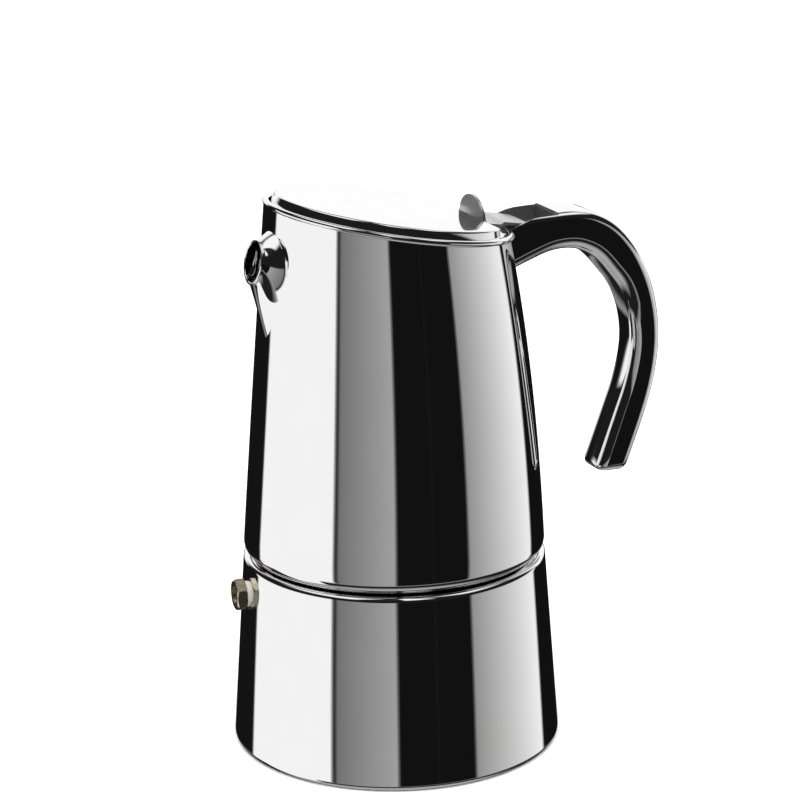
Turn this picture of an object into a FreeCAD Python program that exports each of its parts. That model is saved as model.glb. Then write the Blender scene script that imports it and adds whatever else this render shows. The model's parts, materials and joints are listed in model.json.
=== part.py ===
import FreeCAD, Part
import Sketcher
import math
import os

# Six-cup stainless stove-top coffee maker, millimetres, +Z up, handle on +X,
# spout and safety valve on -X, origin on the pot's axis in the resting plane.

doc = FreeCAD.newDocument("MokaPot")
sheet = doc.addObject("Spreadsheet::Sheet", "Dims")

DIMS = [
    # boiler
    ("base_radius", 54.0),          # widest, just above the resting plane
    ("base_top_radius", 49.6),      # wall radius where the shoulder starts
    ("base_height", 63.8),          # top of the boiler's shoulder
    ("base_corner", 1.8),           # bottom edge radius
    ("shoulder_radius", 1.8),
    ("sheet_steel", 0.8),
    ("floor_steel", 1.6),
    # neck and its thread
    ("neck_radius", 37.0),
    ("neck_wall", 1.4),
    ("neck_height", 10.4),
    ("thread_depth", 0.7),
    ("thread_pitch", 3.0),
    ("thread_clear", 0.3),
    # upper vessel
    ("seam_gap", 0.3),
    ("body_radius", 49.3),
    ("body_corner", 3.9),
    ("body_mid_height", 125.0),
    ("body_mid_radius", 44.75),
    ("rim_height", 174.8),          # centre of the slanted rim circle
    ("rim_offset", -0.4),
    ("rim_radius", 39.8),           # centre line of the rolled bead
    ("rim_tilt", 10.0),             # degrees, low at the handle
    ("bead_radius", 1.2),
    ("collar_wall", 1.4),
    # sealing stack
    ("stack_clear", 0.1),
    ("hole_pitch", 5.2),
    ("funnel_flange", 1.0),
    ("gasket_thick", 3.0),
    ("gasket_inner", 27.0),
    ("plate_radius", 32.0),
    ("plate_thick", 0.8),
    ("hole_radius", 0.6),
    # funnel
    ("basket_radius", 31.0),
    ("basket_depth", 17.0),
    ("basket_taper", 1.5),
    ("funnel_steel", 0.6),
    ("stem_radius", 4.5),
    ("stem_end", 8.0),
    # riser column
    ("riser_base_radius", 8.0),
    ("riser_top_radius", 5.6),
    ("riser_wall", 0.8),
    ("riser_below_rim", 28.8),
    # lid
    ("lid_radius", 38.2),
    ("lid_bevel", 1.0),
    ("lid_rise", 3.4),
    ("lid_step", 27.6),
    ("leaf_width", 16.8),
    ("leaf_thick", 1.0),
    ("tab_half_width", 9.2),
    ("tab_height", 9.6),
    ("tab_at", 29.6),
    # hinge
    ("pin_at", 46.0),
    ("pin_lift", 0.5),
    ("pin_radius", 1.2),
    ("pin_clear", 0.05),
    ("knuckle_radius", 2.2),
    # handle
    ("handle_width", 19.6),
    ("handle_mid_width", 15.6),
    ("handle_steel", 0.9),
    ("handle_reach", 94.4),
    ("handle_below_rim", 2.7),
    ("handle_drop", 91.5),
    ("slot_end", 55.7),
    # spout
    ("mouth_radius", 7.2),
    ("mouth_x", 46.6),
    ("mouth_below_rim", 9.8),
    ("mouth_tilt", 12.0),
    ("spout_half_width", 11.2),
    ("roof_below_rim", 0.6),
    ("keel_below_rim", 35.3),
    # safety valve
    ("valve_height", 53.3),
    ("valve_hex", 9.4),
    ("valve_reach", 4.3),
    ("valve_turn", 6.5),            # degrees from the spout's side, as the boiler is screwed on
    ("valve_lift", 1.5),
    ("valve_shank", 3.0),
    ("valve_bore", 2.2),
    ("valve_orifice", 1.1),
    ("valve_pin_radius", 0.8),
    ("spring_wire", 0.25),
]
for row, (alias, value) in enumerate(DIMS, start=1):
    sheet.set("A%d" % row, alias)
    sheet.set("B%d" % row, "%s" % value)
    sheet.setAlias("B%d" % row, alias)
D = dict(DIMS)
doc.recompute()

YAXIS = FreeCAD.Vector(0, 1, 0)
ZAXIS = FreeCAD.Vector(0, 0, 1)
ORIGIN = FreeCAD.Vector(0, 0, 0)
OUT = FreeCAD.Rotation(YAXIS, -90)      # local +Z turned to point along -X


def bind(obj, **formulas):
    """Tie properties to formulas; 'Dims.' is written as '#'."""
    for prop, formula in formulas.items():
        obj.setExpression(prop.replace("__", "."), formula.replace("#", "Dims."))
    return obj


def number(formula):
    """The value of a formula over the named dimensions."""
    value = sheet.evalExpression(formula.replace("#", "Dims."))
    return float(getattr(value, "Value", value))


def piece(kind, name, **formulas):
    return bind(doc.addObject(kind, name), **formulas)


def cylinder(name, radius, height, x="0", y="0", z="0", turn=None):
    obj = piece("Part::Cylinder", name, Radius=radius, Height=height)
    return put(obj, x, y, z, turn)


def box(name, length, width, height, x="0", y="0", z="0", turn=None):
    obj = piece("Part::Box", name, Length=length, Width=width, Height=height)
    return put(obj, x, y, z, turn)


def put(obj, x, y, z, turn=None):
    rotation = turn or FreeCAD.Rotation()
    spot = FreeCAD.Vector(number(x), number(y), number(z))
    obj.Placement = FreeCAD.Placement(spot, rotation)
    bind(obj, Placement__Base__x=x, Placement__Base__y=y, Placement__Base__z=z)
    return obj


def cut(name, base, tool):
    obj = doc.addObject("Part::Cut", name)
    obj.Base = base
    obj.Tool = tool
    return obj


def common(name, *shapes):
    obj = doc.addObject("Part::MultiCommon", name)
    obj.Shapes = list(shapes)
    return obj


def fuse(name, *shapes):
    obj = doc.addObject("Part::MultiFuse", name)
    obj.Shapes = list(shapes)
    obj.Refine = True
    return obj


def outline(name, corners, arcs=()):
    """A closed sketch in the XZ plane. corners are (x, z) formulas in order; arcs lists
    (index, centre x, centre z) for sides that are quarter or part turns."""
    sketch = doc.addObject("Sketcher::SketchObject", name)
    sketch.Placement = FreeCAD.Placement(ORIGIN, FreeCAD.Rotation(1, 0, 0, 1))
    points = [FreeCAD.Vector(number(x), number(z), 0) for x, z in corners]
    centres = {index: (cx, cz) for index, cx, cz in arcs}
    flipped = {}
    count = len(points)
    for index in range(count):
        a = points[index]
        b = points[(index + 1) % count]
        if index not in centres:
            sketch.addGeometry(Part.LineSegment(a, b), False)
            continue
        cx, cz = centres[index]
        c = FreeCAD.Vector(number(cx), number(cz), 0)
        start = math.atan2(a.y - c.y, a.x - c.x)
        end = math.atan2(b.y - c.y, b.x - c.x)
        turn = (end - start) % (2 * math.pi)
        flipped[index] = turn > math.pi
        if flipped[index]:
            start, end = end, start
        circle = Part.Circle(c, ZAXIS, a.distanceToPoint(c))
        sketch.addGeometry(Part.ArcOfCircle(circle, start, end), False)
    for index in range(count):
        follower = (index + 1) % count
        tail = 1 if flipped.get(index) else 2
        head = 2 if flipped.get(follower) else 1
        sketch.addConstraint(Sketcher.Constraint("Coincident", index, tail, follower, head))
    for index, (x, z) in enumerate(corners):
        head = 2 if flipped.get(index) else 1
        for kind, formula, value in (("DistanceX", x, points[index].x), ("DistanceY", z, points[index].y)):
            rule = sketch.addConstraint(Sketcher.Constraint(kind, -1, 1, index, head, value))
            sketch.setExpression("Constraints[%d]" % rule, formula.replace("#", "Dims."))
    for index, (cx, cz) in centres.items():
        size = "sqrt((%s-(%s))^2+(%s-(%s))^2)" % (corners[index][0], cx, corners[index][1], cz)
        rule = sketch.addConstraint(Sketcher.Constraint("Radius", index, number(size)))
        sketch.setExpression("Constraints[%d]" % rule, size.replace("#", "Dims."))
    return sketch


def lathe(name, corners, arcs=()):
    """A closed profile turned once about Z."""
    sketch = outline(name + "_profile", corners, arcs)
    turned = doc.addObject("Part::Revolution", name)
    turned.Source = sketch
    turned.Axis = ZAXIS
    turned.Base = ORIGIN
    turned.Angle = 360.0
    turned.Solid = True
    return turned


def prism(name, corners, width, arcs=()):
    """A closed XZ profile given an equal thickness to both sides of Y = 0."""
    sketch = outline(name + "_profile", corners, arcs)
    block = doc.addObject("Part::Extrusion", name)
    block.Base = sketch
    block.DirMode = "Custom"
    block.Dir = FreeCAD.Vector(0, -1, 0)
    block.Solid = True
    block.Symmetric = True
    bind(block, LengthFwd=width)
    return block


def leaning(obj):
    """Stand an object in the slanted frame of the rim."""
    obj.Placement = FreeCAD.Placement(
        FreeCAD.Vector(D["rim_offset"], 0, D["rim_height"]), FreeCAD.Rotation(YAXIS, D["rim_tilt"]))
    bind(obj, Placement__Base__x="#rim_offset", Placement__Base__z="#rim_height",
         Placement__Rotation__Angle="#rim_tilt")
    return obj


nodes = []


def keep(obj, label):
    obj.Label = label
    nodes.append(obj)
    return obj


def perforated(name, radius, thick, z, count):
    """A round plate with rings of small holes, drawn as one sketch and given a thickness."""
    sketch = doc.addObject("Sketcher::SketchObject", name + "_holes")
    circles = [("0*#hole_pitch", "0*#hole_pitch", radius)]
    circles.append(("0*#hole_pitch", "0*#hole_pitch", "#hole_radius"))
    for ring in range(1, count + 1):
        for step in range(6 * ring):
            angle = math.radians(60.0 * step / ring)
            x = "#hole_pitch*%.6f" % (ring * math.cos(angle))
            y = "#hole_pitch*%.6f" % (ring * math.sin(angle))
            circles.append((x, y, "#hole_radius"))
    for index, (x, y, size) in enumerate(circles):
        values = (number(x), number(y), number(size))
        centre = FreeCAD.Vector(values[0], values[1], 0)
        sketch.addGeometry(Part.Circle(centre, ZAXIS, values[2]), False)
        rules = (Sketcher.Constraint("DistanceX", -1, 1, index, 3, values[0]),
                 Sketcher.Constraint("DistanceY", -1, 1, index, 3, values[1]),
                 Sketcher.Constraint("Radius", index, values[2]))
        for rule, formula in zip(rules, (x, y, size)):
            spot = sketch.addConstraint(rule)
            sketch.setExpression("Constraints[%d]" % spot, formula.replace("#", "Dims."))
    plate = doc.addObject("Part::Extrusion", name)
    plate.Base = sketch
    plate.DirMode = "Custom"
    plate.Dir = ZAXIS
    plate.Solid = True
    bind(plate, LengthFwd=thick)
    return put(plate, "0", "0", z)


HANDLE_TOP = number("#rim_height-#handle_below_rim")
MOUTH_Z = number("#rim_height-#mouth_below_rim")
SPOUT_TOP = number("#rim_height-#roof_below_rim")
SPOUT_BOTTOM = number("#rim_height-#keel_below_rim")

# ---------------------------------------------------------------- boiler
outer_boiler = lathe("boiler_outer", [
    ("0", "0"),
    ("#base_radius-#base_corner", "0"),
    ("#base_radius", "#base_corner"),
    ("#base_top_radius", "#base_height-#shoulder_radius"),
    ("#base_top_radius-#shoulder_radius", "#base_height"),
    ("0", "#base_height"),
], arcs=[
    (1, "#base_radius-#base_corner", "#base_corner"),
    (3, "#base_top_radius-#shoulder_radius", "#base_height-#shoulder_radius"),
])
INNER_TOP = "#base_height-#sheet_steel"
boiler_cavity = lathe("boiler_cavity", [
    ("0", "#floor_steel"),
    ("#base_radius-#sheet_steel-#base_corner", "#floor_steel"),
    ("#base_radius-#sheet_steel", "#floor_steel+#base_corner"),
    ("#base_top_radius-#sheet_steel", "#base_height-#shoulder_radius"),
    ("#base_top_radius-#shoulder_radius", INNER_TOP),
    ("0", INNER_TOP),
], arcs=[
    (1, "#base_radius-#sheet_steel-#base_corner", "#floor_steel+#base_corner"),
    (3, "#base_top_radius-#shoulder_radius", "#base_height-#shoulder_radius"),
])
mouth_cut = cylinder("boiler_mouth", "#neck_radius", "4*#sheet_steel", z="#base_height-2*#sheet_steel")
WALL_SLOPE = "((#base_radius-#base_top_radius)/(#base_height-#shoulder_radius-#base_corner))"
VALVE_R = "(#base_radius-" + WALL_SLOPE + "*(#valve_height-#base_corner)"
VALVE_TURN = FreeCAD.Rotation(ZAXIS, -D["valve_turn"]) * OUT
SEAL = "(0.5+0.58*#valve_hex*" + WALL_SLOPE + ")"
NUT = "(#sheet_steel+0.3+0.54*#valve_hex*" + WALL_SLOPE + ")"


def at_valve(obj, start):
    """Puts an object on the valve's outward axis; start is measured out from the boiler wall."""
    reach = VALVE_R + "+" + start + ")"
    return put(obj, "-%s*cos(#valve_turn*1deg)" % reach, "%s*sin(#valve_turn*1deg)" % reach,
               "#valve_height", VALVE_TURN)


def on_valve(kind, name, start, **formulas):
    return at_valve(piece(kind, name, **formulas), start)


valve_hole = on_valve("Part::Cylinder", "valve_hole", "-6", Radius="#valve_shank+0.1", Height="12")
boiler = cut("boiler_open", cut("boiler_hollow", outer_boiler, boiler_cavity), mouth_cut)
keep(cut("boiler_shell", boiler, valve_hole), "boiler_shell")


def ridges(radius, sign, top, count):
    """Profile corners of thread turns, listed from the top turn down."""
    corners = []
    for turn in range(count):
        middle = "%s-%d*#thread_pitch" % (top, turn)
        for side, lift in (("0", "+0.9"), ("1", "+0.35"), ("1", "-0.35"), ("0", "-0.9")):
            corners.append(("%s%s%s*#thread_depth" % (radius, sign, side), middle + lift))
    return corners


NECK_TOP = "#base_height+#neck_height"
neck_outline = [("#neck_radius-#neck_wall", "#base_height-2.4"),
                ("#neck_radius-#neck_wall", NECK_TOP),
                ("#neck_radius", NECK_TOP)]
neck_outline += ridges("#neck_radius", "+", NECK_TOP + "-1.9", 3)
neck_outline.append(("#neck_radius", "#base_height-2.4"))
keep(lathe("boiler_neck", neck_outline), "boiler_neck")

# ---------------------------------------------------------------- safety valve
seal = on_valve("Part::Cylinder", "valve_seal_blank", "-0.8", Radius="0.44*#valve_hex", Height="0.8+" + SEAL)
shank_cut = on_valve("Part::Cylinder", "valve_shank_cut", "-9", Radius="#valve_shank", Height="14")
seal_fit = cut("valve_seal_fit", seal, outer_boiler)
keep(cut("valve_gasket", seal_fit, shank_cut), "valve_gasket")
washer = on_valve("Part::Cylinder", "valve_washer_blank", "-" + NUT, Radius="#valve_hex*0.52", Height=NUT)
washer_fit = common("valve_washer_fit", washer, boiler_cavity)
keep(cut("valve_washer", washer_fit, shank_cut), "valve_washer")

envelope = lathe("valve_envelope", [
    ("0", SEAL), ("#valve_hex*0.52", SEAL), ("#valve_hex*0.59", SEAL + "+0.5"),
    ("#valve_hex*0.59", "#valve_reach-0.7"), ("#valve_hex*0.48", "#valve_reach"), ("0", "#valve_reach")])
at_valve(envelope, "0")
head = on_valve("Part::Prism", "valve_hex", SEAL, Circumradius="#valve_hex/1.7320508",
                Height="#valve_reach-" + SEAL)
head.Polygon = 6
shank = on_valve("Part::Cylinder", "valve_shank_rod", "-(" + NUT + "+2.7)", Radius="#valve_shank",
                 Height=NUT + "+2.7+" + SEAL)
bore = on_valve("Part::Cylinder", "valve_chamber", "-3", Radius="#valve_bore", Height="20")
orifice = on_valve("Part::Cylinder", "valve_orifice_cut", "-9", Radius="#valve_orifice", Height="12")
recess = on_valve("Part::Cylinder", "valve_recess", "#valve_reach-0.9", Radius="#valve_hex*0.34", Height="4")
valve_solid = fuse("valve_solid", common("valve_head", head, envelope), shank)
keep(cut("valve_body", valve_solid, fuse("valve_cuts", bore, orifice, recess)), "valve_body")

nut = on_valve("Part::Prism", "valve_nut_blank", "-(" + NUT + "+2.3)", Circumradius="5.0", Height="2.3")
nut.Polygon = 6
keep(cut("valve_nut", nut, shank_cut), "valve_nut")
RETAINER = "#valve_reach-1.9"
POPPET = "(#valve_reach-2.0-4.4)"
ring = on_valve("Part::Cylinder", "valve_retainer_blank", RETAINER, Radius="#valve_bore", Height="1.0")
ring_bore = on_valve("Part::Cylinder", "valve_retainer_bore", "-1", Radius="#valve_pin_radius+0.08", Height="20")
keep(cut("valve_retainer", ring, ring_bore), "valve_retainer")
poppet = on_valve("Part::Cylinder", "valve_poppet", POPPET + "-0.7", Radius="#valve_bore-0.2", Height="0.8")
stem = on_valve("Part::Cylinder", "valve_stem", POPPET, Radius="#valve_pin_radius",
                Height="#valve_reach-0.2-" + POPPET)
keep(fuse("valve_pin", poppet, stem), "valve_pin")

coil_height = number(RETAINER + "-" + POPPET) - 0.1 - 2.6 * D["spring_wire"]
helix = Part.makeHelix(coil_height / 4.0, coil_height, 1.5)
section = Part.Wire(Part.makeCircle(D["spring_wire"], FreeCAD.Vector(1.5, 0, 0), YAXIS))
spring = doc.addObject("Part::Feature", "valve_spring")
spring.Shape = Part.Wire(helix.Edges).makePipeShell([section], True, True)
at_valve(spring, POPPET + "+0.1+1.3*#spring_wire")
keep(spring, "valve_spring")

# ---------------------------------------------------------------- funnel
FUNNEL = NECK_TOP + "+#stack_clear"
FLOOR = FUNNEL + "-#basket_depth"
keep(lathe("funnel_basket", [
    ("#neck_radius-0.4", FUNNEL),
    ("#neck_radius-0.4", FUNNEL + "+#funnel_flange"),
    ("#basket_radius-#funnel_steel", FUNNEL + "+#funnel_flange"),
    ("#basket_radius-#basket_taper-#funnel_steel", FLOOR + "+#funnel_steel"),
    ("#basket_radius*0.77", FLOOR + "+#funnel_steel"),
    ("#stem_radius", FLOOR + "-7.5"),
    ("#stem_radius", FLOOR + "-8.5"),
    ("#basket_radius*0.77", FLOOR),
    ("#basket_radius-#basket_taper", FLOOR),
    ("#basket_radius", FUNNEL),
]), "funnel_basket")
keep(lathe("funnel_stem", [
    ("#stem_radius-#funnel_steel", "#stem_end"),
    ("#stem_radius", "#stem_end"),
    ("#stem_radius", FLOOR + "-6.8"),
    ("#stem_radius-#funnel_steel", FLOOR + "-6.8"),
]), "funnel_stem")
disc = perforated("funnel_filter_disc", "#basket_radius*0.9", "#funnel_steel", FLOOR + "+#funnel_steel", 4)
keep(disc, "funnel_filter_disc")

# ---------------------------------------------------------------- sealing stack
GASKET = FUNNEL + "+#funnel_flange+#stack_clear"
PLATE = GASKET + "+#gasket_thick+#stack_clear"
DECK = PLATE + "+#plate_thick+#stack_clear"
keep(lathe("sealing_gasket", [
    ("#gasket_inner", GASKET + "+0.5"),
    ("#gasket_inner+0.5", GASKET),
    ("#neck_radius", GASKET),
    ("#neck_radius+0.4", GASKET + "+0.4"),
    ("#neck_radius+0.4", GASKET + "+#gasket_thick-0.4"),
    ("#neck_radius", GASKET + "+#gasket_thick"),
    ("#gasket_inner+0.5", GASKET + "+#gasket_thick"),
    ("#gasket_inner", GASKET + "+#gasket_thick-0.5"),
]), "sealing_gasket")
keep(perforated("filter_plate", "#plate_radius", "#plate_thick", PLATE, 4), "filter_plate")

# ---------------------------------------------------------------- upper vessel
WALL = "#base_height+#seam_gap+#body_corner"


def ring_wire(name, radius, z):
    """A horizontal circle, or one in the slanted rim plane when no height is given."""
    obj = piece("Part::Circle", name, Radius=radius)
    if z is None:
        return leaning(obj)
    return put(obj, "0", "0", z)


def vessel(name, inset):
    """The upper vessel's wall as a solid, drawn inset from its outside."""
    loft = doc.addObject("Part::Loft", name)
    loft.Sections = [
        ring_wire(name + "_low", "#body_radius-" + inset, WALL),
        ring_wire(name + "_mid", "#body_mid_radius-" + inset, "#body_mid_height"),
        ring_wire(name + "_top", "#rim_radius+0.5*#sheet_steel-" + inset, None),
    ]
    loft.Solid = True
    loft.Ruled = False
    return loft


vessel_outer = vessel("vessel_outer", "0*#sheet_steel")
vessel_inner = vessel("vessel_inner", "#sheet_steel")
bead = leaning(piece("Part::Torus", "rim_bead", Radius1="#rim_radius", Radius2="#bead_radius"))
COLLAR = "#neck_radius+2*#thread_depth+#thread_clear"
UNDER = "#base_height+#seam_gap"
foot = lathe("vessel_foot", [
    ("#body_radius", WALL),
    ("#body_radius-#body_corner", UNDER),
    (COLLAR + "+#collar_wall", UNDER),
    (COLLAR + "+#collar_wall", UNDER + "+#sheet_steel"),
    ("#body_radius-#body_corner", UNDER + "+#sheet_steel"),
    ("#body_radius-#sheet_steel", WALL),
], arcs=[
    (0, "#body_radius-#body_corner", WALL),
    (4, "#body_radius-#body_corner", WALL),
])

collar_outline = [(COLLAR + "+#collar_wall", UNDER), (COLLAR + "+#collar_wall", DECK), (COLLAR, DECK)]
collar_outline += ridges(COLLAR, "-", NECK_TOP + "-3.4", 2)
collar_outline.append((COLLAR, UNDER))
keep(lathe("thread_collar", collar_outline), "thread_collar")

LIP = DECK + "+9"
deck_disc = lathe("deck_disc", [
    ("#body_radius", DECK),
    ("#body_radius", DECK + "+#sheet_steel"),
    ("22", DECK + "+#sheet_steel"),
    ("#riser_base_radius+#sheet_steel", LIP),
    ("#riser_base_radius+#sheet_steel", LIP + "+4"),
    ("#riser_base_radius", LIP + "+4"),
    ("#riser_base_radius", LIP + "-0.6"),
    ("21.4", DECK),
])
keep(common("vessel_deck", deck_disc, vessel_inner), "vessel_deck")
keep(lathe("riser_tube", [
    ("#riser_base_radius-#riser_wall", LIP + "-0.6"),
    ("#riser_base_radius", LIP + "-0.6"),
    ("#riser_base_radius", LIP + "+4"),
    ("#riser_top_radius", "#rim_height-#riser_below_rim-5"),
    ("#riser_top_radius", "#rim_height-#riser_below_rim"),
    ("#riser_top_radius-#riser_wall", "#rim_height-#riser_below_rim"),
    ("#riser_top_radius-#riser_wall", "#rim_height-#riser_below_rim-5"),
    ("#riser_base_radius-#riser_wall", LIP + "+4"),
]), "riser_tube")
cap = lathe("riser_cap_blank", [
    ("#riser_top_radius", "#rim_height-#riser_below_rim-4"),
    ("#riser_top_radius+#riser_wall", "#rim_height-#riser_below_rim-4"),
    ("#riser_top_radius+#riser_wall", "#rim_height-#riser_below_rim+5"),
    ("0", "#rim_height-#riser_below_rim+5+#riser_top_radius+#riser_wall"),
    ("0", "#rim_height-#riser_below_rim+5+#riser_top_radius"),
    ("#riser_top_radius", "#rim_height-#riser_below_rim+5"),
], arcs=[(2, "0", "#rim_height-#riser_below_rim+5"), (4, "0", "#rim_height-#riser_below_rim+5")])
outlets = box("riser_outlets", "#riser_top_radius", "40", "4", x="-0.5*#riser_top_radius", y="-20",
              z="#rim_height-#riser_below_rim+0.5")
keep(cut("riser_cap", cap, outlets), "riser_cap")


def loop(points):
    """A smooth closed wire through points."""
    curve = Part.BSplineCurve()
    curve.interpolate(Points=points, PeriodicFlag=True)
    return Part.Wire(curve.toShape())


def spout_form(name, inset, beyond):
    """The spout as a solid: a teardrop just inside the wall drawn out to the round mouth."""
    lower = []
    mouth = []
    tilt = math.radians(D["mouth_tilt"])
    middle = MOUTH_Z - 3.0
    for step in range(24):
        turn = 2 * math.pi * (step + 0.5) / 24
        up = math.cos(turn)
        side = math.sin(turn)
        span = SPOUT_TOP + 1.3 - middle - inset if up > 0 else middle - SPOUT_BOTTOM + 9.1 - inset
        width = (D["spout_half_width"] + 0.7 - inset) * (1.0 if up > 0 else 1.0 - 0.45 * up * up)
        z = middle + span * up
        lean = (D["body_radius"] - D["body_mid_radius"]) / (D["body_mid_height"] - number(WALL))
        x = -(D["body_mid_radius"] - lean * (z - D["body_mid_height"])) + 2.5
        lower.append(FreeCAD.Vector(x, width * side, z))
        radius = D["mouth_radius"] - inset
        mouth.append(FreeCAD.Vector(
            -D["mouth_x"] + radius * up * math.sin(tilt) - beyond * math.cos(tilt),
            radius * side,
            MOUTH_Z + radius * up * math.cos(tilt) + beyond * math.sin(tilt)))
    obj = doc.addObject("Part::Feature", name)
    obj.Shape = Part.makeLoft([loop(lower), loop(mouth)], True, True)
    return obj


spout_outer = spout_form("spout_outer", 0.0, 0.0)
spout_inner = spout_form("spout_inner", D["sheet_steel"], 0.4)
spout_open = cut("spout_open", cut("spout_hollow", spout_outer, spout_inner), vessel_outer)
lip = piece("Part::Torus", "spout_lip", Radius1="#mouth_radius-0.5*#sheet_steel", Radius2="0.7*#sheet_steel")
FACE = FreeCAD.Rotation(YAXIS, D["mouth_tilt"] - 90)
put(lip, "-#mouth_x", "0", "#rim_height-#mouth_below_rim", FACE)
keep(fuse("spout", spout_open, lip), "spout")

pour_hole = cylinder("pour_hole", "#mouth_radius-#sheet_steel", "#mouth_x", x="0",
                     z="#rim_height-#mouth_below_rim", turn=OUT)
wall = cut("vessel_wall", vessel_outer, vessel_inner)
vessel_body = fuse("vessel_body", wall, foot, bead)
keep(cut("vessel_shell", vessel_body, pour_hole), "vessel_shell")

# ---------------------------------------------------------------- handle
# Pairs of points along the grip: outside edge, inside edge, share of the full width lost.
# Across is a fraction of the reach beyond the rim, down a fraction of the drop.
GRIP = [
    ((-0.18, 0.012), (-0.18, 0.225), 0.0),
    ((-0.04, 0.011), (-0.04, 0.202), 0.0),
    ((0.11, 0.003), (0.13, 0.166), 0.0),
    ((0.26, 0.0), (0.26, 0.143), 0.0),
    ((0.41, 0.001), (0.39, 0.141), 0.0),
    ((0.555, 0.021), (0.492, 0.161), 0.15),
    ((0.692, 0.070), (0.578, 0.196), 0.32),
    ((0.815, 0.151), (0.664, 0.254), 0.52),
    ((0.908, 0.250), (0.745, 0.319), 0.72),
    ((0.970, 0.356), (0.800, 0.400), 0.90),
    ((1.0, 0.471), (0.826, 0.493), 1.0),
    ((0.993, 0.586), (0.818, 0.578), 1.0),
    ((0.955, 0.701), (0.778, 0.679), 1.0),
    ((0.896, 0.810), (0.716, 0.781), 0.96),
    ((0.804, 0.950), (0.610, 0.950), 0.88),
]
GRIP_X0 = D["rim_radius"] + 0.2


def grip_point(pair):
    x = GRIP_X0 + pair[0] * (D["handle_reach"] - GRIP_X0)
    return FreeCAD.Vector(x, 0, HANDLE_TOP - pair[1] * D["handle_drop"])


def grip_section(outside, inside, width, inset, shrink):
    """A rounded rectangle across the grip: small radii outside, large ones inside."""
    middle = (outside + inside) * 0.5
    deep = (outside - inside).normalize()
    half = ((outside - inside).Length * 0.5 - inset) * shrink
    wide = (width * 0.5 - inset) * shrink
    small = (2.6 - inset) * shrink
    large = (4.3 - inset) * shrink
    corners = [(1, 1, small), (-1, 1, small), (-1, -1, large), (1, -1, large)]
    edges = []
    points = []
    for across, depth, radius in corners:
        cy = across * (wide - radius)
        cd = depth * (half - radius)
        first = (cy + across * radius, cd)
        second = (cy, cd + depth * radius)
        bulge = (cy + across * radius * math.sqrt(0.5), cd + depth * radius * math.sqrt(0.5))
        if across * depth < 0:
            first, second = second, first
        points.append([middle + YAXIS * y + deep * d for y, d in (first, bulge, second)])
    for index in range(4):
        edges.append(Part.Arc(*points[index]).toShape())
        edges.append(Part.LineSegment(points[index][2], points[(index + 1) % 4][0]).toShape())
    return Part.Wire(edges)


def grip(name, inset, tip):
    """The grip as a solid; tip lists (distance past the last pair, scale) for its rounded end."""
    wires = []
    for outside, inside, lost in GRIP:
        width = D["handle_width"] + lost * (D["handle_mid_width"] - D["handle_width"])
        wires.append(grip_section(grip_point(outside), grip_point(inside), width, inset, 1.0))
    ends = [grip_point(GRIP[-1][0]), grip_point(GRIP[-1][1])]
    before = [grip_point(GRIP[-2][0]), grip_point(GRIP[-2][1])]
    along = (ends[0] + ends[1] - before[0] - before[1]).normalize()
    for distance, scale in tip:
        shift = along * distance
        wires.append(grip_section(ends[0] + shift, ends[1] + shift, width, inset, scale))
    obj = doc.addObject("Part::Feature", name)
    obj.Shape = Part.makeLoft(wires, True, False)
    return obj


STEEL = D["handle_steel"]
grip_outer = grip("grip_outer", 0.0, [(1.6, 1.0), (3.2, 0.94), (4.2, 0.8), (4.6, 0.5)])
grip_inner = grip("grip_inner", STEEL, [(1.6, 1.0), (2.9, 0.9)])
INSIDE = "#handle_width-2*#handle_steel"
channel = box("grip_channel", "#slot_end-20", INSIDE, "20", x="20", y="-0.5*(%s)" % INSIDE,
              z="#rim_height-#handle_below_rim-4.2")
slope = prism("grip_slope", [
    ("25", "#rim_height-#handle_below_rim-9.6"),
    ("#rim_radius-2.5", "#rim_height-#handle_below_rim-4.2"),
    ("#rim_radius+1.2", "#rim_height-#handle_below_rim-2.5"),
    ("#rim_radius+5.3", "#rim_height-#handle_below_rim-1.2"),
    ("#rim_radius+9.7", "#rim_height-#handle_below_rim-0.6"),
    ("#rim_radius+13", "#rim_height-#handle_below_rim+0.6"),
    ("#rim_radius+13", "#rim_height-#handle_below_rim+12"),
    ("25", "#rim_height-#handle_below_rim+12"),
], "2*#handle_width")
pin_rod = piece("Part::Cylinder", "pin_rod", Radius="#pin_radius", Height="#handle_width-#handle_steel")
PIN_X = "#rim_offset+#pin_at*cos(#rim_tilt*1deg)+#pin_lift*sin(#rim_tilt*1deg)"
PIN_Z = "#rim_height-#pin_at*sin(#rim_tilt*1deg)+#pin_lift*cos(#rim_tilt*1deg)"
put(pin_rod, PIN_X, "0.5*(#handle_width-#handle_steel)", PIN_Z, FreeCAD.Rotation(1, 0, 0, 1))
grip_cuts = fuse("grip_cuts", channel, slope)
grip_hollow = cut("grip_hollow", grip_outer, grip_inner)
grip_slotted = cut("grip_slotted", grip_hollow, grip_cuts)
grip_trimmed = cut("grip_trimmed", cut("grip_off_wall", grip_slotted, vessel_outer), bead)
keep(cut("handle_shell", grip_trimmed, pin_rod), "handle_shell")
web_slab = box("web_slab", "#handle_steel", "2*#handle_width", "3*#handle_width", x="#slot_end-0.2",
               y="-#handle_width", z="#rim_height-#handle_below_rim-2*#handle_width")
keep(common("handle_web", grip_inner, web_slab), "handle_web")
keep(pin_rod, "hinge_pin")

# ---------------------------------------------------------------- lid, drawn flat, then slanted


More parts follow.
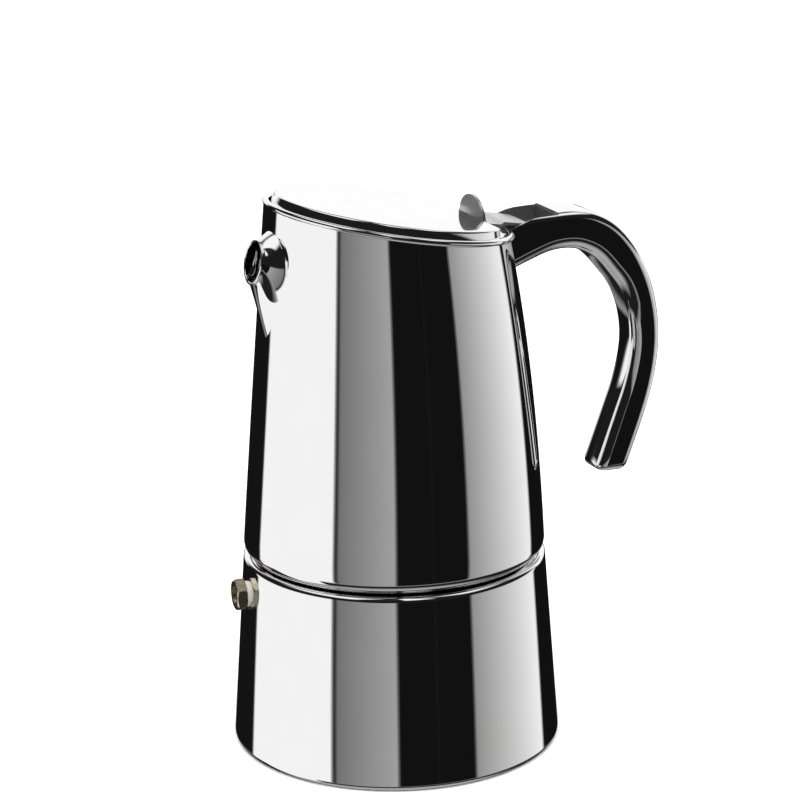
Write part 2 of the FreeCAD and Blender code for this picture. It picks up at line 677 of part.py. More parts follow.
def lid_form(name, inset):
    """The raised part of the lid as a solid, cut straight across on the hinge side."""
    top = "#lid_rise-" + inset
    edge = "#lid_radius-#lid_bevel-" + inset
    bowl = lathe(name + "_bowl", [
        ("0", "0"), ("#lid_radius-" + inset, "0"), (edge, top + "-0.6"), (edge + "-0.6", top), ("0", top),
    ], arcs=[(2, edge + "-0.6", top + "-0.6")])
    far = box(name + "_far", "100", "200", "20", x="#lid_step-%s-100" % inset, y="-100", z="-5")
    return common(name, bowl, far)


lid_outer = lid_form("lid_outer", "0*#sheet_steel")
lid_inner = lid_form("lid_inner", "#sheet_steel")
land_disc = cylinder("land_disc", "#lid_radius", "#sheet_steel")
land_half = box("land_half", "100", "200", "20", x="#lid_step-#sheet_steel", y="-100", z="-5")
lid_land = common("lid_land", land_disc, land_half)
keep(leaning(fuse("lid_plate", cut("lid_pan", lid_outer, lid_inner), lid_land)), "lid_plate")

FOLD = "0.95"
LEAF0 = "#sheet_steel"
RAISED = "#pin_lift+#knuckle_radius-#leaf_thick"
leaf_sheet = prism("leaf_sheet", [
    ("#tab_at+" + FOLD, LEAF0),
    ("#rim_radius-3.6", LEAF0),
    ("#rim_radius-2.4", RAISED),
    ("#pin_at", RAISED),
    ("#pin_at", RAISED + "+#leaf_thick"),
    ("#rim_radius-2.8", RAISED + "+#leaf_thick"),
    ("#rim_radius-4.0", LEAF0 + "+#leaf_thick"),
    ("#tab_at+" + FOLD, LEAF0 + "+#leaf_thick"),
], "#leaf_width")
ALONG = FreeCAD.Rotation(1, 0, 0, 1)    # local +Z turned to point along -Y
knuckle = cylinder("knuckle", "#knuckle_radius", "#leaf_width", x="#pin_at", y="0.5*#leaf_width",
                   z="#pin_lift", turn=ALONG)
knuckle_bore = cylinder("knuckle_bore", "#pin_radius+#pin_clear", "2*#leaf_width", x="#pin_at",
                        y="#leaf_width", z="#pin_lift", turn=ALONG)
keep(leaning(cut("lid_hinge_leaf", fuse("leaf_solid", leaf_sheet, knuckle), knuckle_bore)), "lid_hinge_leaf")

oval = piece("Part::Ellipse", "tab_outline", MajorRadius="#tab_half_width", MinorRadius="#tab_height-1.6")
leaf_blank = doc.addObject("Part::Extrusion", "tab_blank")
leaf_blank.Base = oval
leaf_blank.DirMode = "Custom"
leaf_blank.Dir = ZAXIS
leaf_blank.Solid = True
leaf_blank.Symmetric = True
bind(leaf_blank, LengthFwd="#leaf_thick")
tab_keep = box("tab_keep", "100", "50", "10", x="-50", y="0", z="-5")
upright = common("tab_upright", leaf_blank, tab_keep)
upright.Placement = FreeCAD.Placement(
    FreeCAD.Vector(D["tab_at"], 0, 1.6),
    FreeCAD.Rotation(YAXIS, -D["rim_tilt"]) * FreeCAD.Rotation(ZAXIS, 90) * FreeCAD.Rotation(1, 0, 0, 1))
bind(upright, Placement__Base__x="#tab_at")
fold = cylinder("tab_fold", FOLD, "2*#tab_half_width", x="#tab_at", y="#tab_half_width",
                z=LEAF0 + "+" + FOLD, turn=ALONG)
keep(leaning(fuse("lid_thumb_tab", upright, fold)), "lid_thumb_tab")

# ---------------------------------------------------------------- check and write
doc.recompute()
for obj in doc.Objects:
    if "Invalid" in obj.State or "Error" in obj.State:
        raise RuntimeError("%s did not build: %s" % (obj.Name, obj.State))
os.makedirs("parts", exist_ok=True)
for obj in nodes:
    shape = obj.Shape
    if shape.isNull() or not shape.isValid() or not shape.Solids:
        raise RuntimeError("%s has no valid solid" % obj.Label)
    shape.exportStep("parts/%s.step" % obj.Label)
    size = shape.BoundBox
    print("%-20s %d solid %9.1f mm3  x %.1f..%.1f y %.1f..%.1f z %.1f..%.1f" % (
        obj.Label, len(shape.Solids), shape.Volume, size.XMin, size.XMax, size.YMin, size.YMax,
        size.ZMin, size.ZMax))
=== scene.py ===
"""Looks for a polished steel stove-top coffee maker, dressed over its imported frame. Metres, +Z up."""
import json
import math

import bmesh
import bpy
from mathutils import Matrix, Vector


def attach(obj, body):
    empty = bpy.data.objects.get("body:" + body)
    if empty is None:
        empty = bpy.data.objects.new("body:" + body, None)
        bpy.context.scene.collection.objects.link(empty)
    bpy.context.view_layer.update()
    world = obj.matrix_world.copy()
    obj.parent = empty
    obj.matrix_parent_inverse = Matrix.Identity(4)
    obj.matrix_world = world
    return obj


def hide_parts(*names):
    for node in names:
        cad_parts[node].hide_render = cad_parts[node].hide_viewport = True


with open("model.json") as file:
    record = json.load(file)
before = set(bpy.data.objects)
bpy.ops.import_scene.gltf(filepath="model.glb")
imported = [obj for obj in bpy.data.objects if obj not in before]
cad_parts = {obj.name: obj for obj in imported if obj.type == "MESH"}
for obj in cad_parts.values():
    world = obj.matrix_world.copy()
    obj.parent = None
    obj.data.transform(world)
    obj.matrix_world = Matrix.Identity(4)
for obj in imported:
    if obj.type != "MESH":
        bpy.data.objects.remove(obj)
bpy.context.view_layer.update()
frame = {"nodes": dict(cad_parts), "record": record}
scene = bpy.context.scene
NODES = frame["nodes"]
MM = 0.001


# ---------------------------------------------------------------- colour and node helpers
def linear(code):
    """An sRGB hex colour as linear RGBA."""
    values = [int(code[i:i + 2], 16) / 255.0 for i in (1, 3, 5)]
    return tuple(v / 12.92 if v <= 0.04045 else ((v + 0.055) / 1.055) ** 2.4 for v in values) + (1.0,)


def add(tree, kind, settings=None, stops=(), **links):
    """Adds a node: its properties, its (place, colour) stops, then its inputs by name ('_' for a space)."""
    node = tree.nodes.new(kind)
    for key, value in (settings or {}).items():
        setattr(node, key, value)
    while stops and len(node.color_ramp.elements) < len(stops):
        node.color_ramp.elements.new(0.5)
    for part, (place, colour) in zip(node.color_ramp.elements if stops else (), stops):
        part.position = place
        part.color = linear(colour)
    for key, value in links.items():
        spot = int(key[3:]) if key.startswith("in_") else key.replace("_", " ")
        if isinstance(value, bpy.types.NodeSocket):
            tree.links.new(value, node.inputs[spot])
        else:
            node.inputs[spot].default_value = value
    return node


def finish_named(name):
    """A new material with an empty Principled surface; returns the material, its tree and the shader."""
    mat = bpy.data.materials.new(name)
    mat.use_nodes = True
    tree = mat.node_tree
    tree.nodes.clear()
    shader = add(tree, "ShaderNodeBsdfPrincipled")
    output = add(tree, "ShaderNodeOutputMaterial")
    tree.links.new(shader.outputs["BSDF"], output.inputs["Surface"])
    return mat, tree, shader


def polished_steel():
    """18/10 stainless, mirror buffed: near-perfect reflections with a faint polishing haze in patches."""
    mat, tree, shader = finish_named("mirror_polished_18_10_stainless")
    shader.inputs["Metallic"].default_value = 1.0
    place = add(tree, "ShaderNodeTexCoord").outputs["Object"]
    cloud = add(tree, "ShaderNodeTexNoise", Vector=place, Scale=1 / (18 * MM), Detail=3.0, Roughness=0.55)
    haze = add(tree, "ShaderNodeMapRange", Value=cloud.outputs["Fac"], From_Min=0.35, From_Max=0.75,
               To_Min=0.022, To_Max=0.055)
    tint = add(tree, "ShaderNodeMix", {"data_type": "RGBA"}, Factor=cloud.outputs["Fac"])
    tint.inputs["A"].default_value = linear("#f4f4f5")
    tint.inputs["B"].default_value = linear("#eeedec")
    tree.links.new(tint.outputs["Result"], shader.inputs["Base Color"])
    tree.links.new(haze.outputs["Result"], shader.inputs["Roughness"])
    return mat


def satin_steel():
    """The same steel left as drawn: soft grey sheen with fine draw lines, as inside the pot."""
    mat, tree, shader = finish_named("drawn_satin_stainless")
    shader.inputs["Metallic"].default_value = 1.0
    shader.inputs["Base Color"].default_value = linear("#dcdcdd")
    place = add(tree, "ShaderNodeTexCoord").outputs["Object"]
    stretched = add(tree, "ShaderNodeMapping", Vector=place, Scale=(1.0, 1.0, 0.08))
    lines = add(tree, "ShaderNodeTexNoise", Vector=stretched.outputs["Vector"], Scale=1 / (0.5 * MM),
                Detail=2.0)
    soft = add(tree, "ShaderNodeMapRange", Value=lines.outputs["Fac"], To_Min=0.34, To_Max=0.46)
    tree.links.new(soft.outputs["Result"], shader.inputs["Roughness"])
    bump = add(tree, "ShaderNodeBump", Height=lines.outputs["Fac"], Strength=0.05, Distance=0.01 * MM)
    tree.links.new(bump.outputs["Normal"], shader.inputs["Normal"])
    return mat


def nickel_brass():
    """Machined brass with a thin nickel flash: pale champagne metal, warmer where the flash has worn."""
    mat, tree, shader = finish_named("nickel_flashed_brass")
    shader.inputs["Metallic"].default_value = 1.0
    place = add(tree, "ShaderNodeTexCoord").outputs["Object"]
    wear = add(tree, "ShaderNodeTexNoise", Vector=place, Scale=1 / (2.2 * MM), Detail=4.0)
    patch = add(tree, "ShaderNodeMapRange", Value=wear.outputs["Fac"], From_Min=0.42, From_Max=0.66)
    tint = add(tree, "ShaderNodeMix", {"data_type": "RGBA"}, Factor=patch.outputs["Result"])
    tint.inputs["A"].default_value = linear("#ddd8c6")
    tint.inputs["B"].default_value = linear("#c9bd99")
    tree.links.new(tint.outputs["Result"], shader.inputs["Base Color"])
    turned = add(tree, "ShaderNodeMapRange", Value=wear.outputs["Fac"], To_Min=0.16, To_Max=0.36)
    tree.links.new(turned.outputs["Result"], shader.inputs["Roughness"])
    bump = add(tree, "ShaderNodeBump", Height=wear.outputs["Fac"], Strength=0.15, Distance=0.05 * MM)
    tree.links.new(bump.outputs["Normal"], shader.inputs["Normal"])
    return mat


def silicone():
    """Moulded food-grade silicone: milky, slightly translucent, with a dull moulded skin."""
    mat, tree, shader = finish_named("milky_moulded_silicone")
    place = add(tree, "ShaderNodeTexCoord").outputs["Object"]
    skin_grain = add(tree, "ShaderNodeTexNoise", Vector=place, Scale=1 / (0.8 * MM), Detail=3.0)
    tint = add(tree, "ShaderNodeMix", {"data_type": "RGBA"}, Factor=skin_grain.outputs["Fac"])
    tint.inputs["A"].default_value = linear("#e6e2d8")
    tint.inputs["B"].default_value = linear("#dad5c8")
    tree.links.new(tint.outputs["Result"], shader.inputs["Base Color"])
    shader.inputs["Roughness"].default_value = 0.5
    shader.inputs["IOR"].default_value = 1.41
    shader.inputs["Subsurface Weight"].default_value = 0.2
    shader.inputs["Subsurface Radius"].default_value = (1.5 * MM, 1.2 * MM, 1.0 * MM)
    bump = add(tree, "ShaderNodeBump", Height=skin_grain.outputs["Fac"], Strength=0.1, Distance=0.04 * MM)
    tree.links.new(bump.outputs["Normal"], shader.inputs["Normal"])
    return mat


STEEL = polished_steel()
SATIN = satin_steel()
BRASS = nickel_brass()
RUBBER = silicone()
FINISHES = {"polished_steel": STEEL, "plain_steel": SATIN, "nickel_brass": BRASS, "silicone": RUBBER,
            "spring_wire": SATIN}
for entry in frame["record"]["subparts"]:
    mesh = NODES[entry["node"]].data
    mesh.materials.clear()
    mesh.materials.append(FINISHES[entry["material_slot"]])
for name in ("lid_thumb_tab", "lid_hinge_leaf"):
    NODES[name].data.materials[0] = SATIN


# ---------------------------------------------------------------- sheet-metal forms, in millimetres
def skin(name, rings, wrap=True, closed=False, caps=False):
    """A smooth surface through rings of points; closed joins the last ring to the first."""
    mesh = bpy.data.meshes.new(name)
    form = bmesh.new()
    rows = [[form.verts.new(Vector(p) * MM) for p in ring] for ring in rings]
    count = len(rows[0])
    pairs = list(zip(rows, rows[1:]))
    if closed:
        pairs.append((rows[-1], rows[0]))
    for one, two in pairs:
        for i in range(count if wrap else count - 1):
            j = (i + 1) % count
            form.faces.new((one[i], one[j], two[j], two[i]))
    if caps:
        form.faces.new(rows[0])
        form.faces.new(list(reversed(rows[-1])))
    bmesh.ops.remove_doubles(form, verts=form.verts, dist=1e-7)
    bmesh.ops.dissolve_degenerate(form, edges=form.edges, dist=1e-7)
    bmesh.ops.recalc_face_normals(form, faces=form.faces)
    form.to_mesh(mesh)
    form.free()
    mesh.shade_smooth()
    mesh.set_sharp_from_angle(angle=math.radians(32))
    piece = bpy.data.objects.new(name, mesh)
    scene.collection.objects.link(piece)
    return piece


def rounded(corners, steps=8):
    """Points round a closed outline of (x, z, radius) corners, each corner turned by an arc."""
    points = []
    for i, (x, z, radius) in enumerate(corners):
        here = Vector((x, z))
        if radius == 0:
            points.append((x, z))
            continue
        before = (Vector(corners[i - 1][:2]) - here).normalized()
        after = (Vector(corners[(i + 1) % len(corners)][:2]) - here).normalized()
        half = before.angle(after) / 2
        centre = here + (before + after).normalized() * (radius / math.sin(half))
        first = here + before * (radius / math.tan(half)) - centre
        last = here + after * (radius / math.tan(half)) - centre
        sweep_angle = math.pi - 2 * half
        way = 1 if first.x * last.y - first.y * last.x > 0 else -1
        for k in range(steps + 1):
            a = way * sweep_angle * k / steps
            points.append((centre.x + first.x * math.cos(a) - first.y * math.sin(a),
                           centre.y + first.x * math.sin(a) + first.y * math.cos(a)))
    return points


def circle(count):
    """Evenly spaced angles once round."""
    return [2 * math.pi * k / count for k in range(count)]


def lathe(name, outline, count=288):
    """A closed outline of (radius, height) turned about the pot's axis."""
    rings = [[(r * math.cos(a), r * math.sin(a), z) for a in circle(count)] for r, z in outline]
    return skin(name, rings, closed=True)


def dress(piece, body, material, record_slot, *nodes):
    """Gives a new piece its body and finish, and hides the CAD nodes it stands for."""
    if not piece.data.materials:
        piece.data.materials.append(material)
    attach(piece, body)
    if nodes:
        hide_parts(*nodes)
    return piece


def carve(piece, *cutters):
    """Takes the cutters out of a piece and throws them away."""
    for cutter in cutters:
        tool = piece.modifiers.new("carve", "BOOLEAN")
        tool.operation = "DIFFERENCE"
        tool.solver = "EXACT"
        tool.material_mode = "TRANSFER"
        tool.object = cutter
    graph = bpy.context.evaluated_depsgraph_get()
    mesh = bpy.data.meshes.new_from_object(piece.evaluated_get(graph))
    piece.modifiers.clear()
    piece.data = mesh
    for cutter in cutters:
        bpy.data.objects.remove(cutter)
    mesh.shade_smooth()
    mesh.set_sharp_from_angle(angle=math.radians(32))
    return piece


RIM_TILT = math.radians(10.0)


def slanted(u, v, w):
    """A point in the slanted plane of the rim: u towards the handle, w up out of the plane."""
    return (-0.4 + u * math.cos(RIM_TILT) + w * math.sin(RIM_TILT), v,
            174.8 - u * math.sin(RIM_TILT) + w * math.cos(RIM_TILT))


# ---------------------------------------------------------------- boiler
def satin_inside(piece, low):
    """Leaves the faces that look in towards the axis, above a height, unpolished."""
    piece.data.materials.clear()
    piece.data.materials.append(STEEL)
    piece.data.materials.append(SATIN)
    for face in piece.data.polygons:
        face.material_index = 0
        inward = face.normal.x * face.center.x + face.normal.y * face.center.y
        if inward < -0.25 * math.hypot(face.center.x, face.center.y) and face.center.z > low * MM:
            face.material_index = 1


boiler = lathe("boiler_polished", rounded([
    (0, 0, 0), (54.05, 0, 1.8), (49.47, 63.8, 1.8), (37.0, 63.8, 0.3), (37.0, 63.0, 0.3),
    (48.7, 63.0, 1.0), (53.13, 1.6, 1.8), (0, 1.6, 0)]))
satin_inside(boiler, 1.0)
dress(boiler, "boiler", STEEL, "polished_steel", "boiler_shell")


# ---------------------------------------------------------------- vessel wall, rim bead and spout
WALL_SHARE = 0.534   # how far up the wall its middle circle lies


def wall_point(angle, t, inset=0.0):
    """A point on the vessel wall: t runs from the foot to the slanted rim."""
    low = Vector(((49.275 - inset) * math.cos(angle), (49.275 - inset) * math.sin(angle), 68.31))
    mid = Vector(((44.75 - inset) * math.cos(angle), (44.75 - inset) * math.sin(angle), 125.0))
    high = Vector(slanted((39.6 - inset) * math.cos(angle) - 0.6, (39.6 - inset) * math.sin(angle), 0))
    a = (t - WALL_SHARE) * (t - 1) / WALL_SHARE
    b = t * (t - 1) / (WALL_SHARE * (WALL_SHARE - 1))
    c = t * (t - WALL_SHARE) / (1 - WALL_SHARE)
    return low * a + mid * b + high * c


STEPS = [k / 24 for k in range(25)]
outer_foot = rounded([(40.3, 64.1, 0), (49.61, 64.1, 3.9), (45.02, 121.6, 0), (40.3, 121.6, 0)], 10)[:12]
inner_foot = rounded([(40.3, 64.9, 0), (48.78, 64.9, 3.1), (44.25, 121.6, 0), (40.3, 121.6, 0)], 10)[:12]
rings = [[(r * math.cos(a), r * math.sin(a), z) for a in circle(288)] for r, z in outer_foot[:-1]]
rings += [[wall_point(a, t) for a in circle(288)] for t in STEPS]
rings += [[wall_point(a, t, 0.8) for a in circle(288)] for t in reversed(STEPS)]
rings += [[(r * math.cos(a), r * math.sin(a), z) for a in circle(288)] for r, z in reversed(inner_foot[:-1])]
vessel = skin("vessel_polished", rings, closed=True)
hole = skin("pour_hole", [[(x, 6.2 * math.cos(a), 165.0 + 6.2 * math.sin(a)) for a in circle(48)]
                          for x in (-30.0, -52.0)], caps=True)
carve(vessel, hole)
satin_inside(vessel, 66.0)
dress(vessel, "vessel", STEEL, "polished_steel", "vessel_shell")

BEAD_REACH, BEAD_THICK = 39.5, 1.05
bead = skin("rolled_rim_bead", [[slanted((BEAD_REACH + BEAD_THICK * math.cos(b)) * math.cos(a),
                                         (BEAD_REACH + BEAD_THICK * math.cos(b)) * math.sin(a),
                                         BEAD_THICK * math.sin(b))
                                 for a in circle(288)] for b in circle(28)], closed=True)
dress(bead, "vessel", STEEL, "polished_steel")

MOUTH = Vector((-46.6, 0, 165.0))
MOUTH_TILT = math.radians(12)
POUR = Vector((-math.cos(MOUTH_TILT), 0, math.sin(MOUTH_TILT)))
LIFT = Vector((math.sin(MOUTH_TILT), 0, math.cos(MOUTH_TILT)))
left_wall = [wall_point(math.pi, k / 60) for k in range(61)]


def wall_reach(z):
    """How far the wall stands out on the spout side at a height."""
    for one, two in zip(left_wall, left_wall[1:]):
        if z <= two.z:
            share = (z - one.z) / (two.z - one.z)
            return -(one.x + (two.x - one.x) * share)
    return -left_wall[-1].x


def mouth_ring(radius, back_off, count=96):
    """A circle square to the pour, set back from the mouth."""
    return [MOUTH + LIFT * radius * math.cos(a) + Vector((0, radius * math.sin(a), 0)) - POUR * back_off
            for a in circle(count)]


def footprint(sink, inset=0.0, count=96):
    """The teardrop where the spout meets the wall."""
    points = []
    for a in circle(count):
        up = math.cos(a)
        z = 162.0 + up * ((12.4 if up > 0 else 22.6) - inset)
        wide = (11.3 - inset) * math.sin(a) * (1.0 if up > 0 else 1.0 - 0.45 * up * up)
        reach = math.sqrt(wall_reach(z) ** 2 - wide * wide) - sink
        points.append(Vector((-reach, wide, z)))
    return points


def spout_row(start, end, share, flare):
    """A ring part of the way from the wall to the mouth, its sides drawn in to a saddle."""
    row = []
    for k, (one, two) in enumerate(zip(start, end)):
        sideways = math.sin(2 * math.pi * k / len(start)) ** 2
        bend = one.lerp(two, 0.5).lerp(two - POUR * 3.4, flare * sideways)
        row.append(one * (1 - share) ** 2 + bend * 2 * share * (1 - share) + two * share ** 2)
    return row


outside = footprint(0.3)
inside = footprint(1.0, 1.1)
rings = [spout_row(outside, mouth_ring(7.2, 0.5), k / 14, 0.75) for k in range(15)]
lip_turns = [0.2 + 0.35 * k for k in range(8)]
rings += [mouth_ring(6.8 + 0.52 * math.cos(b), -0.52 * math.sin(b)) for b in lip_turns]
rings += [spout_row(inside, mouth_ring(6.35, 0.5), k / 10, 0.75) for k in reversed(range(11))]
spout = skin("spout_drawn", rings, closed=True)
dress(spout, "vessel", STEEL, "polished_steel", "spout")

# ---------------------------------------------------------------- hollow handle
GRIP = [
    ((-0.18, 0.012), (-0.18, 0.225), 0.0),
    ((-0.04, 0.011), (-0.04, 0.202), 0.0),
    ((0.11, 0.003), (0.13, 0.166), 0.0),
    ((0.26, 0.0), (0.26, 0.143), 0.0),
    ((0.41, 0.001), (0.39, 0.141), 0.0),
    ((0.555, 0.021), (0.492, 0.161), 0.15),
    ((0.692, 0.070), (0.578, 0.196), 0.32),
    ((0.815, 0.151), (0.664, 0.254), 0.52),
    ((0.908, 0.250), (0.745, 0.319), 0.72),
    ((0.970, 0.356), (0.800, 0.400), 0.90),
    ((1.0, 0.471), (0.826, 0.493), 1.0),
    ((0.993, 0.586), (0.818, 0.578), 1.0),
    ((0.955, 0.701), (0.778, 0.679), 1.0),
    ((0.896, 0.810), (0.716, 0.781), 0.96),
    ((0.804, 0.950), (0.610, 0.950), 0.88),
]


def grip_spot(pair):
    """A point of the grip's side view, from shares of its reach and its drop."""
    return Vector((40.0 + pair[0] * 54.4, 0, 172.1 - pair[1] * 91.5))


def smooth_line(points, share):
    """A point on the smooth curve through points; share counts in points."""
    i = min(int(share), len(points) - 2)
    t = share - i
    p0, p1 = points[max(i - 1, 0)], points[i]
    p2, p3 = points[i + 1], points[min(i + 2, len(points) - 1)]
    return (p1 * 2 + (p2 - p0) * t + (p0 * 2 - p1 * 5 + p2 * 4 - p3) * t ** 2
            + (p1 * 3 - p0 - p2 * 3 + p3) * t ** 3) * 0.5


def grip_ring(outside, inside, width, inset):
    """A rounded section across the grip, a little narrower on its under side."""
    middle = (outside + inside) / 2
    deep = (outside - inside).normalized()
    half = (outside - inside).length / 2 - inset
    wide = width / 2 - inset
    small, large = max(2.6 - inset, 0.2), max(4.3 - inset, 0.3)
    section = rounded([(wide, half, small), (-wide, half, small), (-wide, -half, large),
                       (wide, -half, large)], 9)
    ring = []
    for y, d in section:
        slim = 1.0 - 0.035 * (1 - d / half)
        ring.append(middle + Vector((0, y * slim, 0)) + deep * d)
    return ring


def grip_skin(name, inset, end, turn):
    """The grip's outside or inside as a closed skin; its end is turned in by a radius."""
    outer_line = [grip_spot(row[0]) for row in GRIP]
    inner_line = [grip_spot(row[1]) for row in GRIP]
    rings = []
    for k in range((len(GRIP) - 1) * 8 + 1):
        share = k / 8
        i = min(int(share), len(GRIP) - 2)
        lost = GRIP[i][2] + (GRIP[i + 1][2] - GRIP[i][2]) * (share - i)
        rings.append(grip_ring(smooth_line(outer_line, share), smooth_line(inner_line, share),
                               19.6 - 4.0 * lost, inset))
    one, two = outer_line[-1], inner_line[-1]
    along = (one + two - outer_line[-2] - inner_line[-2]).normalized()
    for k in range(9):
        a = math.pi / 2 * k / 8
        far = end + turn * math.sin(a)
        rings.append(grip_ring(one + along * far, two + along * far, 16.0, inset + turn * (1 - math.cos(a))))
    return skin(name, rings, caps=True)


handle = grip_skin("handle_pressed", 0.0, 1.9, 2.7)
hollow = grip_skin("handle_hollow", 0.9, 1.4, 2.1)
channel = skin("hinge_channel", [[(x, -8.9, 167.9), (x, 8.9, 167.9), (x, 8.9, 190.0), (x, -8.9, 190.0)]
                                 for x in (20.0, 55.7)], caps=True)
slope_line = [(25, 162.5), (37.3, 167.9), (41.0, 169.5), (45.1, 170.8), (49.5, 171.5), (52.8, 172.7),
              (52.8, 190), (25, 190)]
slope = skin("handle_slope", [[(x, y, z) for x, z in slope_line] for y in (-15.0, 15.0)], caps=True)
plug = skin("vessel_plug", [[wall_point(a, t, 0.05) for a in circle(144)]
                            for t in [k / 16 for k in range(17)]], caps=True)
handle.data.materials.append(STEEL)
for cutter in (hollow, channel, slope):
    cutter.data.materials.append(SATIN)
plug.data.materials.append(STEEL)
carve(handle, hollow, channel, slope, plug)
dress(handle, "vessel", STEEL, "polished_steel", "handle_shell")

# ---------------------------------------------------------------- lid
LID_R, LID_STEP = 37.9, 27.6


def lid_ring(radius, step, w, count=240, chord=24):
    """The lid's outline at one height: most of a circle, closed by a straight step."""
    edge = math.acos(step / radius)
    ring = [slanted(radius * math.cos(edge + (2 * math.pi - 2 * edge) * k / count),
                    radius * math.sin(edge + (2 * math.pi - 2 * edge) * k / count), w)
            for k in range(count + 1)]
    half = radius * math.sin(edge)
    ring += [slanted(step, -half + 2 * half * k / chord, w) for k in range(1, chord)]
    return ring


rings = [lid_ring(LID_R, LID_STEP, 0.0)]
for k in range(9):
    a = math.pi / 2 * k / 8
    inward = 0.45 + 0.9 * (1 - math.cos(a))
    rings.append(lid_ring(LID_R - inward - 0.35, LID_STEP - inward * 0.6, 2.5 + 0.9 * math.sin(a)))
rings += [lid_ring(LID_R - 2.6 - k, LID_STEP - 1.6 - k, 3.4) for k in (0, 1.5)]
under = [lid_ring(LID_R - 0.8, LID_STEP - 0.8, 0.0), lid_ring(LID_R - 1.9, LID_STEP - 1.2, 2.0),
         lid_ring(LID_R - 3.4, LID_STEP - 2.4, 2.6)]
lid = skin("lid_pan", list(reversed(rings)) + under, caps=True)
dress(lid, "lid", STEEL, "polished_steel", "lid_plate")
edge = math.acos((LID_STEP - 0.6) / LID_R)


def land_ring(radius, w):
    """The outline of the flat land between the lid's step and its hinge side."""
    arc = [-edge + 2 * edge * k / 60 for k in range(61)]
    ring = [slanted(radius * math.cos(a), radius * math.sin(a), w) for a in arc]
    return ring + [slanted(LID_STEP - 0.7, 26.0 - 52.0 * k / 20, w) for k in range(21)]


land = skin("lid_land", [land_ring(LID_R - 0.25, 0.0), land_ring(LID_R, 0.25), land_ring(LID_R, 0.55),
                         land_ring(LID_R - 0.25, 0.8)], caps=True)
dress(land, "lid", STEEL, "polished_steel")

# ---------------------------------------------------------------- studio
floor_mesh = bpy.data.meshes.new("studio_floor")
sweep = bmesh.new()
bmesh.ops.create_grid(sweep, x_segments=8, y_segments=8, size=8.0)
sweep.to_mesh(floor_mesh)
sweep.free()
floor = bpy.data.objects.new("studio_floor", floor_mesh)
scene.collection.objects.link(floor)
floor.visible_glossy = False
paper, tree, shader = finish_named("white_seamless_paper")
shader.inputs["Base Color"].default_value = linear("#fbfbfb")
shader.inputs["Roughness"].default_value = 0.9
floor_mesh.materials.append(paper)

FRONT = math.radians(-23.5)


world = bpy.data.worlds.new("studio_room")
scene.world = world
world.use_nodes = True
room = world.node_tree
room.nodes.clear()
aim = add(room, "ShaderNodeTexCoord").outputs["Generated"]
TOWARDS = (math.sin(FRONT), -math.cos(FRONT), 0.0)
RIGHT = (math.cos(FRONT), math.sin(FRONT), 0.0)
ahead = add(room, "ShaderNodeVectorMath", {"operation": "DOT_PRODUCT"}, in_0=aim, in_1=TOWARDS)
aside = add(room, "ShaderNodeVectorMath", {"operation": "DOT_PRODUCT"}, in_0=aim, in_1=RIGHT)
height = add(room, "ShaderNodeSeparateXYZ", Vector=aim)
turn = add(room, "ShaderNodeMath", {"operation": "ARCTAN2"}, in_0=aside.outputs["Value"],
           in_1=ahead.outputs["Value"])
share = add(room, "ShaderNodeMapRange", Value=turn.outputs["Value"], From_Min=-math.pi, From_Max=math.pi)
rise = add(room, "ShaderNodeMath", {"operation": "ARCSINE"}, in_0=height.outputs["Z"])
degrees = add(room, "ShaderNodeMath", {"operation": "MULTIPLY"}, in_0=rise.outputs["Value"],
              in_1=180 / math.pi)


def around(*pairs):
    """Stops from (degrees to the right of the front, colour) pairs."""
    return [((angle + 180) / 360, colour) for angle, colour in pairs]


# upright panels and gaps round the room, level with the pot
panels = add(room, "ShaderNodeValToRGB", Fac=share.outputs["Result"], stops=around(
    (-180, "#141414"), (-124, "#141414"), (-122, "#fafafa"), (-47.5, "#fafafa"), (-46, "#2c2c2c"),
    (-44, "#2c2c2c"), (-42, "#767676"), (0, "#a4a4a4"), (2, "#121212"), (28.3, "#121212"), (29, "#242424"),
    (29.7, "#121212"), (57, "#121212"), (59, "#969696"), (126, "#f5f5f5"), (129, "#111111"),
    (180, "#111111"))).outputs["Color"]
# above the panels: a bright sheet behind, dark over the rest
overhead = add(room, "ShaderNodeValToRGB", Fac=share.outputs["Result"], stops=around(
    (-180, "#ffffff"), (-148, "#fafafa"), (-138, "#1c1c1c"), (120, "#1c1c1c"), (135, "#fafafa"),
    (180, "#ffffff"))).outputs["Color"]
# straight up: what the rounded shoulders and the spout's roof mirror
skylight = add(room, "ShaderNodeValToRGB", Fac=share.outputs["Result"], stops=around(
    (-180, "#282828"), (-140, "#282828"), (-125, "#ffffff"), (-40, "#ffffff"), (-32, "#282828"),
    (8, "#282828"), (10, "#ffffff"), (36, "#ffffff"), (38, "#282828"), (60, "#282828"), (75, "#ffffff"),
    (120, "#ffffff"), (135, "#282828"), (180, "#282828"))).outputs["Color"]
# the left panel runs down further than the others, by this many degrees
LEFT_DROP = 25.0
left = add(room, "ShaderNodeValToRGB", Fac=share.outputs["Result"], stops=around(
    (-180, "#000000"), (-108, "#000000"), (-102, "#ffffff"), (-66, "#ffffff"), (-60, "#000000"),
    (180, "#000000"))).outputs["Color"]
kept = add(room, "ShaderNodeMath", {"operation": "MULTIPLY_ADD"}, in_0=left, in_1=LEFT_DROP,
           in_2=degrees.outputs["Value"])
low = add(room, "ShaderNodeMapRange", Value=kept.outputs["Value"], From_Min=-27.0, From_Max=-24.5)
table = add(room, "ShaderNodeMapRange", Value=degrees.outputs["Value"], From_Min=-60.0, From_Max=-23.0)
under_tone = add(room, "ShaderNodeValToRGB", Fac=table.outputs["Result"], stops=[
    (0.0, "#aaaaaa"), (0.4, "#1e1e1e"), (0.78, "#1e1e1e"), (1.0, "#bebebe")]).outputs["Color"]
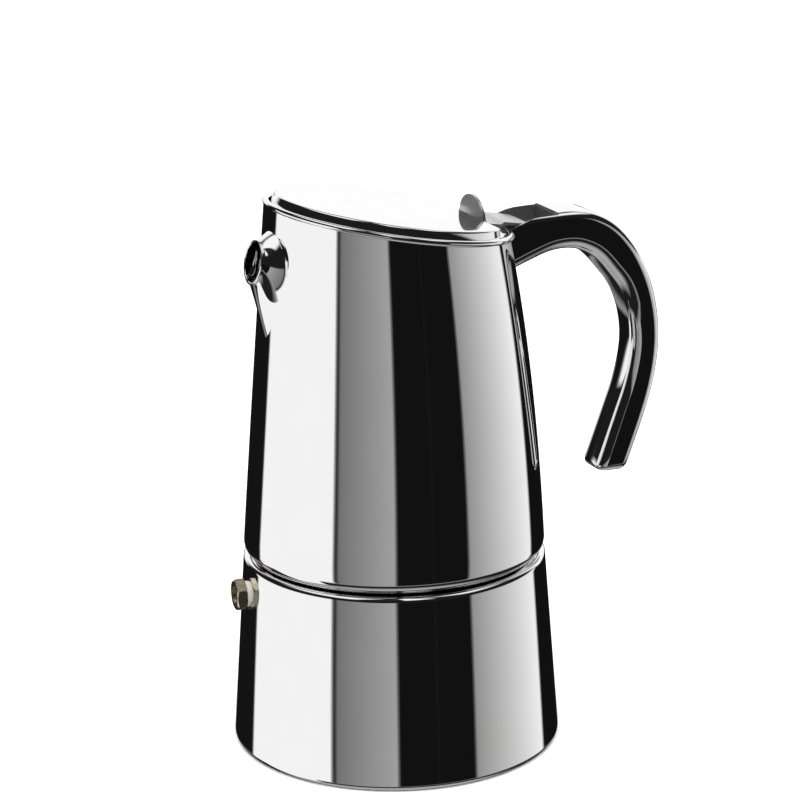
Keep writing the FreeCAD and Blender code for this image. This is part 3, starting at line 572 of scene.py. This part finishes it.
# the sheet behind hangs lower than the dark ceiling, by this many degrees
BACK_DROP = 9.0
behind = add(room, "ShaderNodeValToRGB", Fac=share.outputs["Result"], stops=around(
    (-180, "#ffffff"), (-140, "#ffffff"), (-128, "#000000"), (126, "#000000"), (138, "#ffffff"),
    (180, "#ffffff"))).outputs["Color"]
lifted = add(room, "ShaderNodeMath", {"operation": "MULTIPLY_ADD"}, in_0=behind, in_1=BACK_DROP,
             in_2=degrees.outputs["Value"])
high = add(room, "ShaderNodeMapRange", Value=lifted.outputs["Value"], From_Min=1.0, From_Max=4.0)
top = add(room, "ShaderNodeMapRange", Value=degrees.outputs["Value"], From_Min=42.0, From_Max=52.0)
with_floor = add(room, "ShaderNodeMix", {"data_type": "RGBA"}, Factor=low.outputs["Result"], A=under_tone)
room.links.new(panels, with_floor.inputs["B"])
zenith = add(room, "ShaderNodeMix", {"data_type": "RGBA"}, Factor=top.outputs["Result"], B=skylight)
room.links.new(overhead, zenith.inputs["A"])
with_top = add(room, "ShaderNodeMix", {"data_type": "RGBA"}, Factor=high.outputs["Result"])
room.links.new(with_floor.outputs["Result"], with_top.inputs["A"])
room.links.new(zenith.outputs["Result"], with_top.inputs["B"])
# the backdrop itself is plain white, and so is the fill light on matt surfaces
path = add(room, "ShaderNodeLightPath")
seen = add(room, "ShaderNodeMath", {"operation": "MAXIMUM"}, in_0=path.outputs["Is Camera Ray"],
           in_1=path.outputs["Is Diffuse Ray"]).outputs["Value"]
shown = add(room, "ShaderNodeMix", {"data_type": "RGBA"}, Factor=seen, B=linear("#ffffff"))
room.links.new(with_top.outputs["Result"], shown.inputs["A"])
glow = add(room, "ShaderNodeBackground", Strength=1.06)
room.links.new(shown.outputs["Result"], glow.inputs["Color"])
out = add(room, "ShaderNodeOutputWorld")
room.links.new(glow.outputs["Background"], out.inputs["Surface"])

key = bpy.data.lights.new("overhead_softbox", "AREA")
key.shape = "DISK"
key.size = 1.6
key.energy = 22.0
lamp = bpy.data.objects.new("overhead_softbox", key)
lamp.location = (-0.1, -0.2, 1.6)
lamp.visible_glossy = False
scene.collection.objects.link(lamp)

# ---------------------------------------------------------------- camera
RISE = math.radians(16.561)
TILT = math.radians(-0.735)
back = Vector((math.sin(FRONT) * math.cos(RISE), -math.cos(FRONT) * math.cos(RISE), math.sin(RISE)))
side = Vector(RIGHT)
target = side * 2.516 * MM + Vector((0, 0, 113.934 * MM))
lens = bpy.data.cameras.new("product_camera")
lens.sensor_width = 36.0
lens.lens = 131.87
camera = bpy.data.objects.new("product_camera", lens)
scene.collection.objects.link(camera)
up = back.cross(side)
turned = Matrix((side, up, back)).transposed().to_4x4() @ Matrix.Rotation(TILT, 4, "Z")
camera.matrix_world = Matrix.Translation(target + back * 950 * MM) @ turned
scene.camera = camera
scene.view_settings.view_transform = "Standard"
